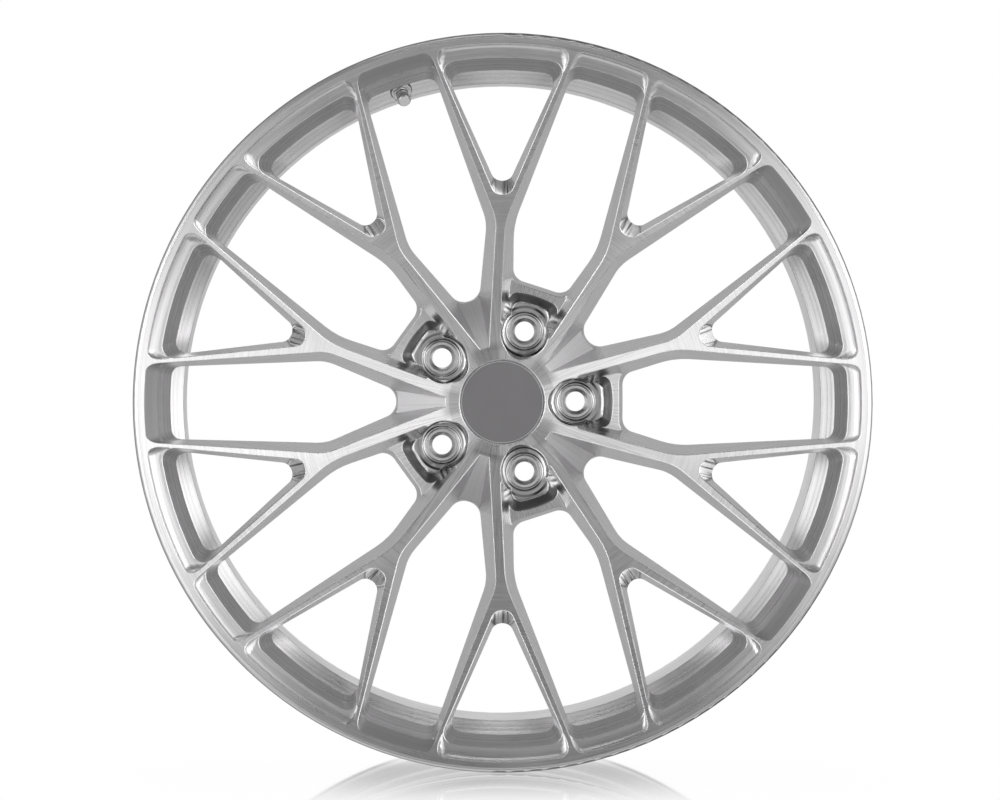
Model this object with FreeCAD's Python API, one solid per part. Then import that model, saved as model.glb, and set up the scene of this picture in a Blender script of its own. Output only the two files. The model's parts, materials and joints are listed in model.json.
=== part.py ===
import FreeCAD, Part

import math
import os

from FreeCAD import Vector

# Forged monoblock racing wheel, ten Y-spokes.
# The spin axis is Y.  The outboard face looks toward -Y and +Z is up.
# The origin lies on the spin axis, half way between the two flanges.
# "Depth" is measured inward from the plane of the outboard flange.

# ---------------------------------------------------------------- driving sizes
BEAD_SEAT_RADIUS = 256.4      # 20 inch rim, 512.8 mm over the bead seats
FLANGE_HEIGHT = 17.3          # J flange
RIM_WIDTH = 254.0             # 10 inch between the bead faces
FLANGE_WIDTH = 12.7
OFFSET = 25.0                 # mounting face outboard of the centre plane
BOLT_COUNT = 5
BOLT_CIRCLE_RADIUS = 56.0     # 5 x 112
HUB_BORE_RADIUS = 33.25
WALL = 5.0                    # barrel wall

FLANGE_RADIUS = BEAD_SEAT_RADIUS + FLANGE_HEIGHT
OVERALL_WIDTH = RIM_WIDTH + 2.0 * FLANGE_WIDTH
HALF_WIDTH = OVERALL_WIDTH / 2.0
MOUNT_DEPTH = HALF_WIDTH - OFFSET
SECTOR = 360.0 / BOLT_COUNT

# Spoke face: the land runs from the hub to the lip as a slightly hollow cone.
HUB_LAND_DEPTH = 57.0
HUB_LAND_RADIUS = 40.0
LIP_LAND_DEPTH = 1.6
LIP_LAND_RADIUS = 264.5
LAND_HOLLOW = 3.0

# Underside of the spokes, a plain cone.
BACK_HUB_RADIUS = 80.0
BACK_HUB_DEPTH = 97.0
BACK_RIM_RADIUS = 244.0
BACK_RIM_DEPTH = 25.0

# Window walls.
SPOKE_DRAFT = 10.5            # degrees, the two flanks of a main spoke
FORK_DRAFT = 8.5              # degrees, inside the fork
FLUTE_DRAFT = 12.5            # degrees, the sides of a flute
WINDOW_FRONT_RADIUS = 265.8
WINDOW_FRONT_DEPTH = 0.8
CREASE_RADIUS = 255.7
CREASE_DEPTH = 6.5
PLAIN_CREASE_RADIUS = 256.2
PLAIN_CREASE_DEPTH = 10.0
WINDOW_BACK_RADIUS = 247.9
WINDOW_BACK_DEPTH = 24.5
FRONT_CORNER = 6.7
INNER_CORNER = 9.0
CUT_ABOVE = 6.0               # how far the cutters stand proud of the face

# Rim section outside, the same at both flanges.
LIP_EDGE_RADIUS = FLANGE_RADIUS - 3.5
LIP_BREAK = 0.4
REAR_LIP_RADIUS = FLANGE_RADIUS - 4.1
FLANGE_CREST = 4.4            # depth of the flange's largest radius
FRONT_CURL_DROP = 0.8         # middle of the front flange's outer curl
FRONT_CURL_DEPTH = 1.8
REAR_CURL_DROP = 1.1          # and of the rear flange's
REAR_CURL_DEPTH = 1.3
FLANGE_CURL = 2.5
FLANGE_CURL_DEPTH = 10.4
FLANGE_LEDGE = 8.2
FLANGE_ROOT = 6.2             # fillet between bead seat and flange
SEAT_TAPER = 1.2              # a five degree bead seat
HUMP_DROP = 0.5
HUMP_DEPTH = 36.5
HUMP_HALF = 3.5
LEDGE_RADIUS = BEAD_SEAT_RADIUS - 1.8

# Barrel.
INNER_SEAT_RADIUS = 250.0
WEB_FILLET_DEPTH = 32.0
WELL_INNER_RADIUS = 239.0
WELL_FRONT_DEPTH = 54.0
SLOPE_TOP_DEPTH = 46.0
WELL_REAR_DEPTH = 98.0
WELL_OUTER_RADIUS = WELL_INNER_RADIUS + WALL
OUTER_SLOPE_DEPTH = 50.2
OUTER_WELL_DEPTH = 57.9
OUTER_WELL_REAR = 95.0
REAR_WALL_RADIUS = 246.0
REAR_WALL_DEPTH = 112.0
REAR_LEDGE_RADIUS = 252.4
WELL_SLOPE_START = 2.0

# Inside of the rear lip.  Each pair is a rise over a radius and a distance from the rear edge.
REAR_LIP_CURL = (-5.0, 2.2)
REAR_LIP_END = (-9.2, 6.0)
BELL_MIDDLE = (4.4, 13.4)
BELL_END = (0.4, 22.0)
SHELF_END = (0.0, 38.0)
STEP_END = (1.4, 46.0)
WEB_MIDDLE_DROP = 2.0
WEB_MIDDLE_DEPTH = 1.6

# Hub.
CAP_RECESS_RADIUS = 31.0
CAP_RECESS_DEPTH = 60.0
CAP_RING_RADIUS = 32.3
CAP_RING_DROP = 1.6
CAP_BORE_RADIUS = 28.2
CAP_SHOULDER_DEPTH = 70.0
HUB_CAVITY_RADIUS = 31.0
HUB_BORE_LENGTH = 20.0
PAD_RADIUS = 74.0
PAD_TAPER = 2.5
PAD_HEIGHT = 6.0
BORE_CHAMFER = 1.4
RELIEF_RADIUS = 12.5          # weight reliefs in the mounting pad
RELIEF_DEPTH = 9.0
RELIEF_SHIFT = 1.0

# Lug pockets.
POCKET_FLOOR_DEPTH = 94.0
POCKET_RADIUS = 17.8
POCKET_SHIFT = 1.9
POCKET_NOSE = 3.1             # fillet round the socket's floor
POCKET_CORNER = 7.0
POCKET_WALL_DRAFT = 22.0      # degrees, outer wall of the pocket
POCKET_WALL_NOSE = 3.0        # fillet at the foot of the outer wall
SEAT_STEP_RADIUS = 14.7
SEAT_STEP_DEPTH = 95.5
SEAT_STEP_NOSE = 1.4
BRIDGE_DEPTH = 78.0
BRIDGE_OUTER = 88.5
BRIDGE_INNER = 83.8
BRIDGE_DRAFT = 12.5           # degrees, the bridge's wall in the lug window
CHANNEL_REACH = 9.0           # how far the channel runs out over the window
CHANNEL_CORNER = 8.0
LUG_HOLE_RADIUS = 7.5
INSERT_RADIUS = 12.0
INSERT_BOTTOM_DEPTH = 106.0
SEAT_TOP_RADIUS = 10.1
SEAT_BALL_RADIUS = 14.0       # R14 ball seat

# Ball-milled run-in between the hub ring and a lug pocket.
RUN_IN_RADIUS = 13.8
RUN_IN_CENTRE = 47.0
RUN_IN_CENTRE_DEPTH = 52.0

# Flutes between neighbouring spokes.
FLUTE_START = 43.0
FLUTE_END = 82.0
FLUTE_END_DEPTH = 88.0
FLUTE_NOSE = 3.2
FLUTE_OVERRUN = 3.0
FLUTE_CUT_RADIUS = 100.0
FLUTE_CUT_CORNER = 5.0

# Inner wall of a flute window: nearly square at the face, round at the back.
FLUTE_WALL = 76.5
FLUTE_WALL_DEPTH = 50.0
FLUTE_WALL_DRAFT = 4.4        # degrees
FLUTE_CORNER_FACE = 3.0
FLUTE_CORNER_BACK = 11.4
FLUTE_BOTTOM = 99.0

# How deep the other two cutters go.
FORK_BOTTOM = 70.0
LUG_BOTTOM = 104.0

# Valve, on the front slope of the drop centre.
VALVE_ANGLE = 108.0
VALVE_HOLE_RADIUS = 5.65
VALVE_SPOT_RADIUS = 8.0
VALVE_SPOT_CUT = 0.4
VALVE_RADIUS = 245.2          # where its axis meets the slope
VALVE_WALL = 5.5
VALVE_CUT = 14.0              # length of its cutters each side of the seat

# Centre cap.
CAP_DISC_RADIUS = 30.1
CAP_DISC_FRONT = 57.2
CAP_DISC_THICKNESS = 1.0
CAP_PLATE_RADIUS = 30.9
CAP_SEAL_THICKNESS = 0.8
CAP_LEG_INNER = 25.6
CAP_LEG_END = 71.5
CAP_LEG_COUNT = 8
CAP_LEG_ROOT = 2.0            # solid skirt above the slots
CAP_SLOT = 3.0
CAP_CLEARANCE = 0.08
CAP_DISC_FIT = 0.02
CAP_DISC_BREAK = 0.3
CAP_PLATE_BREAK = 0.5
CAP_LEG_LEAD = 1.0            # lead-in at the tips of the legs
CAP_LEG_LEAD_IN = 0.8
CAP_SEAL_INSIDE = 0.2
CAP_SEAL_INSET = 0.3
CAP_WIRE_FIT = 0.01
CAP_WIRE_UP = 2.6             # the wire ring's distance from the tips of the legs
CAP_WIRE_GAP = 4.0
CAP_WIRE_RADIUS = 0.75

# Tyre valve, heights measured from its seat along its own axis.
STEM_RADIUS = 3.85
STEM_TOP = 13.5
STEM_HEAD_RADIUS = 6.8
STEM_HEAD_THICKNESS = 2.2
STEM_HEAD_BREAK = 0.6
GROMMET_RADIUS = 7.0
WASHER_RADIUS = 7.3
GROMMET_THICKNESS = 1.5
NUT_BOTTOM = GROMMET_THICKNESS + 1.0
NUT_TOP = 6.6
NUT_FLATS = 12.0
VALVE_PITCH = 25.4 / 32.0     # 8V1 thread
THREAD_HEIGHT = 0.3
CORE_CHAMBER_RADIUS = 2.62
CORE_BARREL_BORE = 2.1
CORE_SHOULDER = 5.0
BARREL_BOTTOM = 3.0
PLUG_BOTTOM = 8.9
SPRING_LOW = 3.9
SPRING_HIGH = 8.0
SPRING_ROOM = 1.25
PIN_RADIUS = 0.5
PIN_HOLE_RADIUS = 0.9
CUP_BOTTOM = 0.8
CUP_TOP = 2.4
CAP_LOW = 7.4
CAP_ROOF = 14.4
CAP_HIGH = 15.6
VALVE_CAP_RADIUS = 4.8

# Fits and small edges inside the valve.
VALVE_FIT = 0.05
THREAD_FIT = 0.02
CORE_FIT = 0.1
PIN_GUIDE_FIT = 0.12
THREAD_RUN_OUT = 0.6
STEM_BREAK = 0.4
NUT_CHAMFER = 1.0
NUT_CHAMFER_HEIGHT = 0.6
PLUG_DROP = 0.5
PLUG_KEY = 1.5                # half width across the key flats
PLUG_KEY_HEIGHT = 2.0
CORE_SEAL_HEIGHT = 1.5
CUP_RADIUS = 1.6
CUP_FLOOR = 0.5
PIN_COLLAR_HEIGHT = 0.5
PIN_BREAK = 0.15
PIN_TIP = 0.2
SPRING_WIRE = 0.13
SPRING_FIT = 0.01
SPRING_TURNS = 5.0
VALVE_CAP_FIT = 0.06
VALVE_CAP_CHAMFER = 0.7
GROOVE_COUNT = 18
GROOVE_RADIUS = 0.3
GROOVE_MARGIN = 1.0

TAN_SPOKE = math.tan(math.radians(SPOKE_DRAFT))
TAN_FORK = math.tan(math.radians(FORK_DRAFT))
TAN_FLUTE = math.tan(math.radians(FLUTE_DRAFT))
AXIS = Vector(0, 1, 0)
ORIGIN = Vector(0, 0, 0)


# ---------------------------------------------------------------- small helpers
def at(radius, depth):
    """Point of a section profile in the X-Y half plane."""
    return Vector(radius, depth - HALF_WIDTH, 0)


def plan(point, depth):
    """Point of a face outline, seen from the front, at a given depth."""
    return Vector(point.x, depth - HALF_WIDTH, point.y)


def turn(shape, degrees):
    """Copy turned anticlockwise as seen from the front."""
    copy = shape.copy()
    copy.rotate(ORIGIN, -AXIS, degrees)
    return copy


def revolve(edges):
    return Part.Face(Part.Wire(edges)).revolve(ORIGIN, AXIS, 360)


def polyline(points):
    return [Part.makeLine(a, b) for a, b in zip(points, points[1:])]


def turned(points):
    """Solid turned from a closed polygon of (radius, depth) pairs."""
    corners = [at(radius, depth) for radius, depth in points]
    return revolve(polyline(corners + corners[:1]))


def cylinder(radius, start_depth, end_depth, x=0.0):
    base = Vector(x, start_depth - HALF_WIDTH, 0)
    return Part.makeCylinder(radius, end_depth - start_depth, base, AXIS)


def arc(start, middle, end):
    """Section arc through three (radius, depth) pairs."""
    return Part.Arc(at(*start), at(*middle), at(*end)).toShape()


def land_depth(radius):
    """Depth of the spoke land at a radius."""
    s = (radius - HUB_LAND_RADIUS) / (LIP_LAND_RADIUS - HUB_LAND_RADIUS)
    s = min(max(s, 0.0), 1.0)
    straight = HUB_LAND_DEPTH + s * (LIP_LAND_DEPTH - HUB_LAND_DEPTH)
    return straight + 4.0 * LAND_HOLLOW * s * (1.0 - s)


# ---------------------------------------------------------------- window outlines
# Every window is symmetric about a radial line.  Its half outline is described
# in the plane of the face, with x along that radial line, by straight flanks.
def flank(start, end, tangent):
    """Flank given by two points of its land edge and the tangent of its draft."""
    return (Vector(*start, 0), Vector(*end, 0), tangent)


def flank_at(edge, depth):
    """The flank's trace at a depth: a point, its direction and its inward normal."""
    start, end, tangent = edge
    direction = (end - start).normalize()
    normal = Vector(direction.y, -direction.x, 0)
    first = start + normal * (depth - land_depth(start.Length)) * tangent
    second = end + normal * (depth - land_depth(end.Length)) * tangent
    direction = (second - first).normalize()
    return (first, direction, Vector(direction.y, -direction.x, 0))


def cross_point(first, second, inset):
    """Where two traces meet after both move inward by the inset."""
    p, u, m = first
    q, v, n = second
    p = p + m * inset
    q = q + n * inset
    along = ((q.x - p.x) * v.y - (q.y - p.y) * v.x) / (u.x * v.y - u.y * v.x)
    return p + u * along


def rounded(first, second, radius):
    """Start, middle and end of the arc rounding the corner of two traces."""
    centre = cross_point(first, second, radius)
    middle = centre - (first[2] + second[2]).normalize() * radius
    return (centre - first[2] * radius, middle, centre - second[2] * radius)


def rim_corner(trace, rim_radius, radius):
    """Arc between a trace and the rim circle, and the centre's distance."""
    p, u, m = trace
    q = p + m * radius
    along = -q.dot(u) + math.sqrt(q.dot(u) ** 2 - q.dot(q) + (rim_radius - radius) ** 2)
    centre = q + u * along
    outward = Vector(centre).normalize()
    middle = centre + (outward - m).normalize() * radius
    return (centre - m * radius, middle, centre + outward * radius)


def mirrored(point):
    return Vector(point.x, -point.y, 0)


def outline(flanks, bends, inner, rim_radius, corner, depth):
    """Closed wire of a window at one depth.

    inner is ("round", radius) or ("flat", position, radius).
    """
    traces = [flank_at(edge, depth) for edge in flanks]
    half = []
    if inner[0] == "round":
        axis_trace = (ORIGIN, Vector(-1, 0, 0), Vector(0, 0, 0))
        start = cross_point((traces[0][0] + traces[0][2] * inner[1],) + traces[0][1:], axis_trace, 0)
        begin = start - traces[0][2] * inner[1]
        tip = start - Vector(inner[1], 0, 0)
    else:
        wall = (Vector(inner[1], 0, 0), Vector(0, 1, 0), Vector(1, 0, 0))
        arc = rounded(wall, traces[0], inner[2])
        half.append(arc)
        begin = arc[2]
        tip = None
    for first, second, radius in zip(traces, traces[1:], bends):
        half.append(rounded(first, second, radius))
    half.append(rim_corner(traces[-1], rim_radius, corner))

    edges = []
    if tip is None:
        edges.append(Part.makeLine(plan(mirrored(half[0][0]), depth), plan(half[0][0], depth)))
        here = half[0][0]
    else:
        edges.append(Part.Arc(plan(mirrored(begin), depth), plan(tip, depth), plan(begin, depth)).toShape())
        here = begin
    upper = []
    for arc in half:
        if (arc[0] - here).Length > 1e-6:
            upper.append((here, arc[0]))
        upper.append(arc)
        here = arc[2]
    for item in upper:
        edges.append(stretch(item, depth))
    rim_point = Vector(rim_radius, 0, 0)
    edges.append(Part.Arc(plan(here, depth), plan(rim_point, depth), plan(mirrored(here), depth)).toShape())
    for item in reversed(upper):
        edges.append(stretch([mirrored(point) for point in reversed(item)], depth))
    return Part.Wire(edges)


def stretch(points, depth):
    """Edge from two points (a line) or three points (an arc)."""
    ends = [plan(point, depth) for point in points]
    if len(ends) == 2:
        return Part.makeLine(ends[0], ends[1])
    return Part.Arc(ends[0], ends[1], ends[2]).toShape()


def rim_wall(depth, crease_radius, crease_depth):
    """Radius of the window's rim wall below the crease."""
    slope = (WINDOW_BACK_RADIUS - crease_radius) / (WINDOW_BACK_DEPTH - crease_depth)
    return crease_radius + slope * (depth - crease_depth)


def hollow_steps(count):
    """(radius, depth) steps down the ball-milled band above the crease."""
    steps = []
    for index in range(count + 1):
        angle = math.radians(90.0 * index / count)
        radius = CREASE_RADIUS + (WINDOW_FRONT_RADIUS - CREASE_RADIUS) * math.cos(angle)
        depth = WINDOW_FRONT_DEPTH + (CREASE_DEPTH - WINDOW_FRONT_DEPTH) * math.sin(angle)
        steps.append((radius, depth))
    return steps


def window_cutter(flanks, bends, inner_at, depths, hollow):
    """Cutter for one window, lofted through its outlines down to the given depths."""
    if hollow:
        steps = hollow_steps(6)
        crease = (CREASE_RADIUS, CREASE_DEPTH)
    else:
        crease = (PLAIN_CREASE_RADIUS, PLAIN_CREASE_DEPTH)
        steps = [(WINDOW_FRONT_RADIUS, WINDOW_FRONT_DEPTH), crease]
    levels = [(WINDOW_FRONT_RADIUS + 1.0, -CUT_ABOVE)] + steps
    levels += [(rim_wall(depth, *crease), depth) for depth in depths]
    wires = []
    for radius, depth in levels:
        blend = min(max((depth - WINDOW_FRONT_DEPTH) / (crease[1] - WINDOW_FRONT_DEPTH), 0.0), 1.0)
        corner = FRONT_CORNER + blend * (INNER_CORNER - FRONT_CORNER)
        wires.append(outline(flanks, bends, inner_at(depth), radius, corner, depth))
    return Part.makeLoft(wires, True, True)


# Land edges, each in its own window's frame.
SPOKE_LUG_SIDE = flank((67.4, 22.6), (119.3, 36.9), TAN_SPOKE)
BRANCH_LUG_SIDE = flank((160.0, 37.0), (229.3, 30.9), TAN_SPOKE)
SPOKE_FLUTE_SIDE = flank((45.9, 4.6), (115.5, 31.4), TAN_SPOKE)
BRANCH_FLUTE_SIDE = flank((158.0, 35.9), (229.4, 31.1), TAN_SPOKE)
FORK_SIDE = flank((159.4, 7.6), (228.8, 37.8), TAN_FORK)
FLUTE_SIDE = flank((45.9, 4.6), (115.5, 31.4), TAN_FLUTE)
FORK_ROUND = 8.3
LUG_BEND = 60.0
FLUTE_BEND = 32.0
BRIDGE_CORNER = 10.0


def fork_window():
    return window_cutter([FORK_SIDE], [], lambda depth: ("round", FORK_ROUND), [FORK_BOTTOM], True)


def flute_inner(depth):
    """Inner wall of the flute window, whose corners open out below the face."""
    wall = FLUTE_WALL + (depth - FLUTE_WALL_DEPTH) * math.tan(math.radians(FLUTE_WALL_DRAFT))
    share = max(depth - HUB_LAND_DEPTH, 0.0) / (FLUTE_BOTTOM - HUB_LAND_DEPTH)
    return ("flat", wall, FLUTE_CORNER_FACE + share * (FLUTE_CORNER_BACK - FLUTE_CORNER_FACE))


def flute_window():
    flanks = [SPOKE_FLUTE_SIDE, BRANCH_FLUTE_SIDE]
    return window_cutter(flanks, [FLUTE_BEND], flute_inner, [HUB_LAND_DEPTH, FLUTE_BOTTOM], False)


def lug_inner(depth):
    """Inner wall of the lug window, the outer side of the bridge."""
    wall = BRIDGE_OUTER + (depth - BRIDGE_DEPTH) * math.tan(math.radians(BRIDGE_DRAFT))
    return ("flat", wall, BRIDGE_CORNER)


def lug_window():
    flanks = [SPOKE_LUG_SIDE, BRANCH_LUG_SIDE]
    return window_cutter(flanks, [LUG_BEND], lug_inner, [LUG_BOTTOM], True)


# ---------------------------------------------------------------- wheel forging
def lip_and_barrel():
    """Section edges from the lip, round the outside of the barrel, to its rear lip."""
    seat = BEAD_SEAT_RADIUS
    front = FLANGE_WIDTH
    rear_edge = OVERALL_WIDTH
    rear = rear_edge - FLANGE_WIDTH
    root = FLANGE_ROOT
    mid = root * (1.0 - math.sqrt(0.5))
    hump = seat - HUMP_DROP
    rise_depth = HUMP_DEPTH - HUMP_HALF
    fall_depth = HUMP_DEPTH + HUMP_HALF
    rear_hump = rear_edge - HUMP_DEPTH
    rear_rise = rear_hump + HUMP_HALF
    rear_fall = rear_hump - HUMP_HALF
    ledge = FLANGE_RADIUS - FLANGE_LEDGE
    crest = FLANGE_CREST
    lip_end = (LIP_EDGE_RADIUS + LIP_BREAK, LIP_BREAK)
    front_middle = (FLANGE_RADIUS - FRONT_CURL_DROP, FRONT_CURL_DEPTH)
    rear_middle = (FLANGE_RADIUS - REAR_CURL_DROP, rear_edge - REAR_CURL_DEPTH)
    curl = FLANGE_RADIUS - FLANGE_CURL
    curl_depth = FLANGE_CURL_DEPTH
    return [
        Part.makeLine(at(LIP_LAND_RADIUS, LIP_LAND_DEPTH), at(LIP_EDGE_RADIUS, 0.0)),
        Part.makeLine(at(LIP_EDGE_RADIUS, 0.0), at(*lip_end)),
        arc(lip_end, front_middle, (FLANGE_RADIUS, crest)),
        arc((FLANGE_RADIUS, crest), (curl, curl_depth), (ledge, front)),
        Part.makeLine(at(ledge, front), at(seat + root, front)),
        arc((seat + root, front), (seat + mid, front + mid), (seat, front + root)),
        Part.makeLine(at(seat, front + root), at(seat - SEAT_TAPER, rise_depth)),
        arc((seat - SEAT_TAPER, rise_depth), (hump, HUMP_DEPTH), (LEDGE_RADIUS, fall_depth)),
        Part.makeLine(at(LEDGE_RADIUS, fall_depth), at(LEDGE_RADIUS, OUTER_SLOPE_DEPTH)),
        Part.makeLine(at(LEDGE_RADIUS, OUTER_SLOPE_DEPTH), at(WELL_OUTER_RADIUS, OUTER_WELL_DEPTH)),
        Part.makeLine(at(WELL_OUTER_RADIUS, OUTER_WELL_DEPTH), at(WELL_OUTER_RADIUS, OUTER_WELL_REAR)),
        Part.makeLine(at(WELL_OUTER_RADIUS, OUTER_WELL_REAR), at(REAR_WALL_RADIUS + WALL, REAR_WALL_DEPTH)),
        Part.makeLine(at(REAR_WALL_RADIUS + WALL, REAR_WALL_DEPTH), at(REAR_LEDGE_RADIUS, rear_fall)),
        arc((REAR_LEDGE_RADIUS, rear_fall), (hump, rear_hump), (seat - SEAT_TAPER, rear_rise)),
        Part.makeLine(at(seat - SEAT_TAPER, rear_rise), at(seat, rear - root)),
        arc((seat, rear - root), (seat + mid, rear - mid), (seat + root, rear)),
        Part.makeLine(at(seat + root, rear), at(ledge, rear)),
        arc((ledge, rear), (curl, rear_edge - curl_depth), (FLANGE_RADIUS, rear_edge - crest)),
        arc((FLANGE_RADIUS, rear_edge - crest), rear_middle, (REAR_LIP_RADIUS, rear_edge)),
    ]


def inside_of_barrel():
    """Section edges from the rear lip, through the drop centre, to the spokes."""
    def from_rear(radius, step):
        return (radius + step[0], OVERALL_WIDTH - step[1])

    lip_curl = from_rear(REAR_LIP_RADIUS, REAR_LIP_CURL)
    lip_end = from_rear(REAR_LIP_RADIUS, REAR_LIP_END)
    bell_middle = from_rear(INNER_SEAT_RADIUS, BELL_MIDDLE)
    bell_end = from_rear(INNER_SEAT_RADIUS, BELL_END)
    corners = [
        bell_end,
        from_rear(INNER_SEAT_RADIUS, SHELF_END),
        from_rear(REAR_WALL_RADIUS, STEP_END),
        (REAR_WALL_RADIUS, REAR_WALL_DEPTH + WELL_SLOPE_START),
        (WELL_INNER_RADIUS, WELL_REAR_DEPTH),
        (WELL_INNER_RADIUS, WELL_FRONT_DEPTH),
        (INNER_SEAT_RADIUS, SLOPE_TOP_DEPTH),
        (INNER_SEAT_RADIUS, WEB_FILLET_DEPTH),
    ]
    edges = [
        arc((REAR_LIP_RADIUS, OVERALL_WIDTH), lip_curl, lip_end),
        arc(lip_end, bell_middle, bell_end),
    ]
    edges += polyline([at(radius, depth) for radius, depth in corners])
    web_middle = (INNER_SEAT_RADIUS - WEB_MIDDLE_DROP, BACK_RIM_DEPTH + WEB_MIDDLE_DEPTH)
    edges.append(arc(corners[-1], web_middle, (BACK_RIM_RADIUS, BACK_RIM_DEPTH)))
    return edges


def hub_section():
    """Section edges from the underside of the spokes, round the hub, to the land."""
    pad = MOUNT_DEPTH
    bore_start = pad - HUB_BORE_LENGTH
    cone_end = bore_start - (HUB_BORE_RADIUS - HUB_CAVITY_RADIUS)
    points = [
        (BACK_RIM_RADIUS, BACK_RIM_DEPTH),
        (BACK_HUB_RADIUS, BACK_HUB_DEPTH),
        (PAD_RADIUS + PAD_TAPER, pad - PAD_HEIGHT),
        (PAD_RADIUS, pad),
        (HUB_BORE_RADIUS + BORE_CHAMFER, pad),
        (HUB_BORE_RADIUS, pad - BORE_CHAMFER),
        (HUB_BORE_RADIUS, bore_start),
        (HUB_CAVITY_RADIUS, cone_end),
        (HUB_CAVITY_RADIUS, CAP_SHOULDER_DEPTH),
        (CAP_BORE_RADIUS, CAP_SHOULDER_DEPTH),
        (CAP_BORE_RADIUS, CAP_RECESS_DEPTH),
        (CAP_RECESS_RADIUS, CAP_RECESS_DEPTH),
        (CAP_RECESS_RADIUS, HUB_LAND_DEPTH + CAP_RING_DROP),
        (CAP_RING_RADIUS, HUB_LAND_DEPTH),
        (HUB_LAND_RADIUS, HUB_LAND_DEPTH),
    ]
    edges = polyline([at(radius, depth) for radius, depth in points])
    middle = (HUB_LAND_RADIUS + LIP_LAND_RADIUS) / 2.0
    edges.append(arc(points[-1], (middle, land_depth(middle)), (LIP_LAND_RADIUS, LIP_LAND_DEPTH)))
    return edges


def milled(radius, bottom, nose, x):
    """Round pocket cutter, parallel to the spin axis, with a rounded bottom edge."""
    slant = nose * (1.0 - math.sqrt(0.5))
    corners = [(0.0, bottom), (0.0, -CUT_ABOVE), (radius, -CUT_ABOVE), (radius, bottom - nose)]
    edges = polyline([at(*corner) for corner in corners])
    edges.append(arc((radius, bottom - nose), (radius - slant, bottom - slant), (radius - nose, bottom)))
    edges.append(Part.makeLine(at(radius - nose, bottom), at(0.0, bottom)))
    cutter = revolve(edges)
    cutter.translate(Vector(x, 0, 0))
    return cutter


def pocket_outline(inner, outer, corner, depth):
    """Between the flanks of two spokes, closed by an arc about the spin axis."""
    return outline([SPOKE_LUG_SIDE], [], ("flat", inner, corner / 2.0), outer, corner, depth)


def pocket_wall(depth):
    """Radius of a lug pocket's outer wall, which ends in a fillet at the floor."""
    foot = POCKET_FLOOR_DEPTH - POCKET_WALL_NOSE
    fall = math.tan(math.radians(POCKET_WALL_DRAFT))
    if depth <= foot:
        return BRIDGE_INNER - (depth - BRIDGE_DEPTH) * fall
    rise = math.sqrt(POCKET_WALL_NOSE ** 2 - (depth - foot) ** 2)
    return BRIDGE_INNER - (foot - BRIDGE_DEPTH) * fall - (POCKET_WALL_NOSE - rise)


def lug_pocket_cutters():
    """Channel over the bridge, drafted pocket, socket clearance and bolt hole."""
    x = BOLT_CIRCLE_RADIUS
    reach = BRIDGE_OUTER + CHANNEL_REACH
    channel = [pocket_outline(x, reach, CHANNEL_CORNER, depth) for depth in (-CUT_ABOVE, BRIDGE_DEPTH)]
    foot = POCKET_FLOOR_DEPTH - POCKET_WALL_NOSE
    depths = [-CUT_ABOVE, foot]
    depths += [foot + POCKET_WALL_NOSE * math.sin(math.radians(angle)) for angle in (22.5, 45.0, 67.5, 90.0)]
    pocket = [pocket_outline(x, pocket_wall(depth), POCKET_CORNER, depth) for depth in depths]
    return [
        Part.makeLoft(channel, True, True),
        Part.makeLoft(pocket, True, True),
        milled(POCKET_RADIUS, POCKET_FLOOR_DEPTH, POCKET_NOSE, x),
        milled(POCKET_RADIUS, POCKET_FLOOR_DEPTH, POCKET_NOSE, x - POCKET_SHIFT),
        milled(SEAT_STEP_RADIUS, SEAT_STEP_DEPTH, SEAT_STEP_NOSE, x),
        cylinder(INSERT_RADIUS, -CUT_ABOVE, INSERT_BOTTOM_DEPTH, x),
        cylinder(LUG_HOLE_RADIUS, -CUT_ABOVE, MOUNT_DEPTH + CUT_ABOVE, x),
        Part.makeSphere(RUN_IN_RADIUS, Vector(RUN_IN_CENTRE, RUN_IN_CENTRE_DEPTH - HALF_WIDTH, 0)),
    ]


def flute_cutter():
    """Wedge between two spokes that ramps down from the hub to the window."""
    wires = [
        outline([FLUTE_SIDE], [], ("round", FLUTE_NOSE), FLUTE_CUT_RADIUS, FLUTE_CUT_CORNER, depth)
        for depth in (-CUT_ABOVE, FLUTE_END_DEPTH + FLUTE_OVERRUN)
    ]
    wedge = Part.makeLoft(wires, True, True)
    slope = (FLUTE_END_DEPTH - HUB_LAND_DEPTH) / (FLUTE_END - FLUTE_START)
    far = FLUTE_CUT_RADIUS + 30.0
    reach = far / 2.0
    section = [
        Vector(0, -2.0 * CUT_ABOVE - HALF_WIDTH, -reach),
        Vector(far, -2.0 * CUT_ABOVE - HALF_WIDTH, -reach),
        Vector(far, HUB_LAND_DEPTH + (far - FLUTE_START) * slope - HALF_WIDTH, -reach),
        Vector(0, HUB_LAND_DEPTH - FLUTE_START * slope - HALF_WIDTH, -reach),
    ]
    above = Part.Face(Part.Wire(polyline(section + section[:1]))).extrude(Vector(0, 0, 2.0 * reach))
    return wedge.common(above)


def pad_relief():
    """Weight relief in the mounting pad between two bolts."""
    x = BOLT_CIRCLE_RADIUS + RELIEF_SHIFT
    return cylinder(RELIEF_RADIUS, MOUNT_DEPTH - RELIEF_DEPTH, MOUNT_DEPTH + CUT_ABOVE, x)


def valve_frame():
    """Place a shape built along +Z, from the valve's seat, on the barrel slope."""
    rise = INNER_SEAT_RADIUS - WELL_INNER_RADIUS
    run = WELL_FRONT_DEPTH - SLOPE_TOP_DEPTH
    length = math.hypot(rise, run)
    angle = math.radians(VALVE_ANGLE)
    radial = Vector(math.cos(angle), 0, math.sin(angle))
    outward = radial * (-run / length) + AXIS * (-rise / length)
    depth = SLOPE_TOP_DEPTH + (INNER_SEAT_RADIUS - VALVE_RADIUS) * run / rise
    seat = radial * VALVE_RADIUS + AXIS * (depth - HALF_WIDTH) - outward * VALVE_SPOT_CUT
    return FreeCAD.Placement(seat, FreeCAD.Rotation(Vector(0, 0, 1), outward))


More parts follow.
